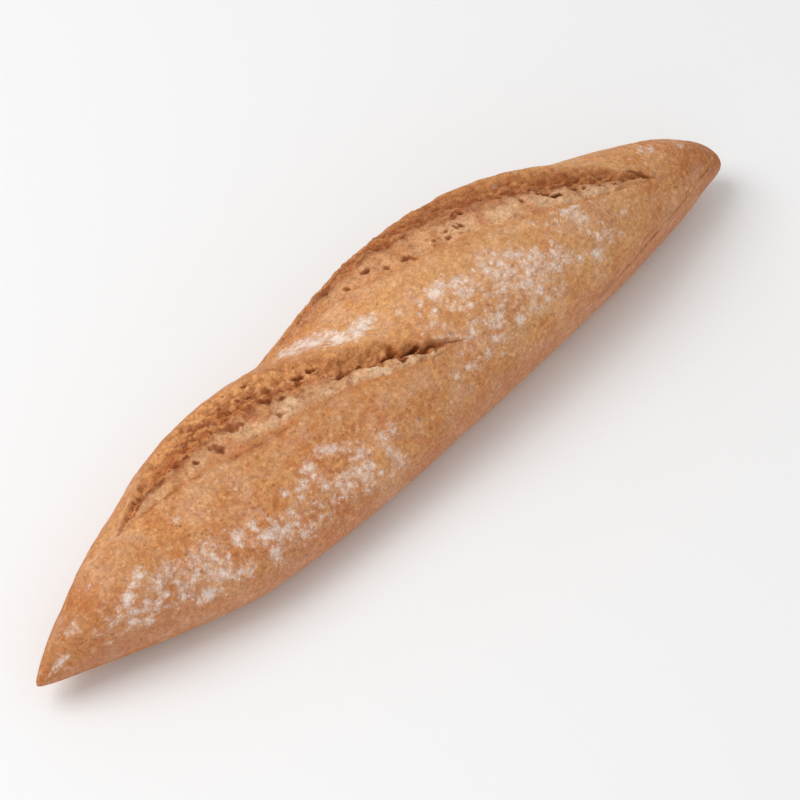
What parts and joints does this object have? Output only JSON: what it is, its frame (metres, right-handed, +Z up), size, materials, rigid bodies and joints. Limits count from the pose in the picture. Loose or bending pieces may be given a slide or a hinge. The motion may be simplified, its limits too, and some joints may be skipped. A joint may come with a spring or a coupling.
{
  "type": "wholemeal bread roll",
  "caption": "Small pointed wholemeal bread roll with long diagonal slashes opened to torn crumb, a floury brown crust and a flat underside.",
  "frame": {"origin": "centre of the roll's length and width, on the plane it rests on", "axes": "+X along the roll from the sharper tip to the blunter one, +Y towards the side the slashes open to, +Z up"},
  "size_m": [0.25, 0.0572, 0.0438],
  "materials": {
    "wholemeal_crust": "dry matte baked crust"
  },
  "bodies": {
    "root": {"bread_roll": "wholemeal_crust"}
  },
  "joints": []
}
